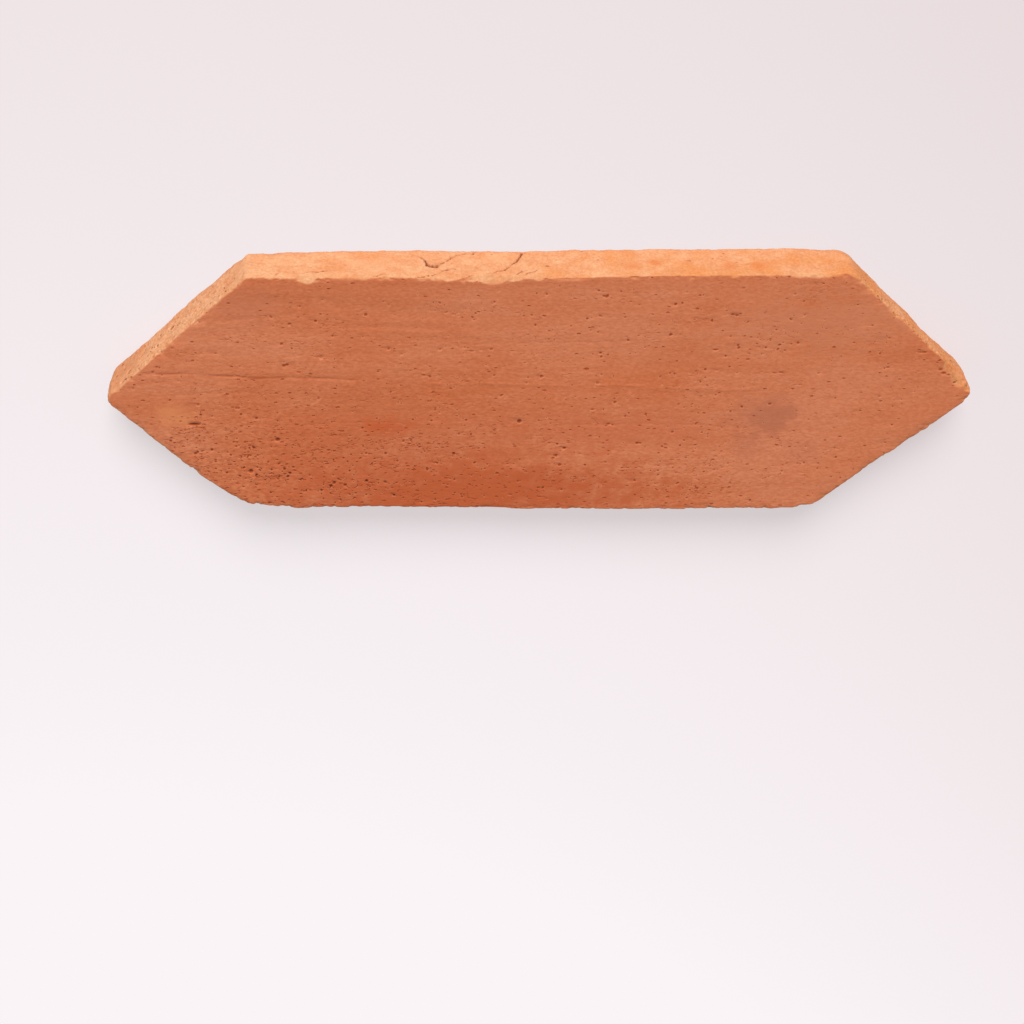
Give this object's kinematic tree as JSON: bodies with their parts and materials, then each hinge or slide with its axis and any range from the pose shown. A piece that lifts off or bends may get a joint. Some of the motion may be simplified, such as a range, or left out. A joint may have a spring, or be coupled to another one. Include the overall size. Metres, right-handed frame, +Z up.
{
  "type": "terracotta floor tile",
  "caption": "Long hexagonal (picket) floor tile of handmade terracotta: flat walking face with a crisp arris, soft rounded bed rim, worn and chipped edges.",
  "frame": {"origin": "middle of the tile's box, on the bed that it lies on", "axes": "+X from point to point, towards the slightly wider end; +Y across the two long edges, towards the edge with the torn notch; +Z up out of the walking face"},
  "size_m": [0.3, 0.102, 0.017],
  "materials": {
    "terracotta": "matte"
  },
  "bodies": {
    "root": {"picket_tile": "terracotta"}
  },
  "joints": []
}
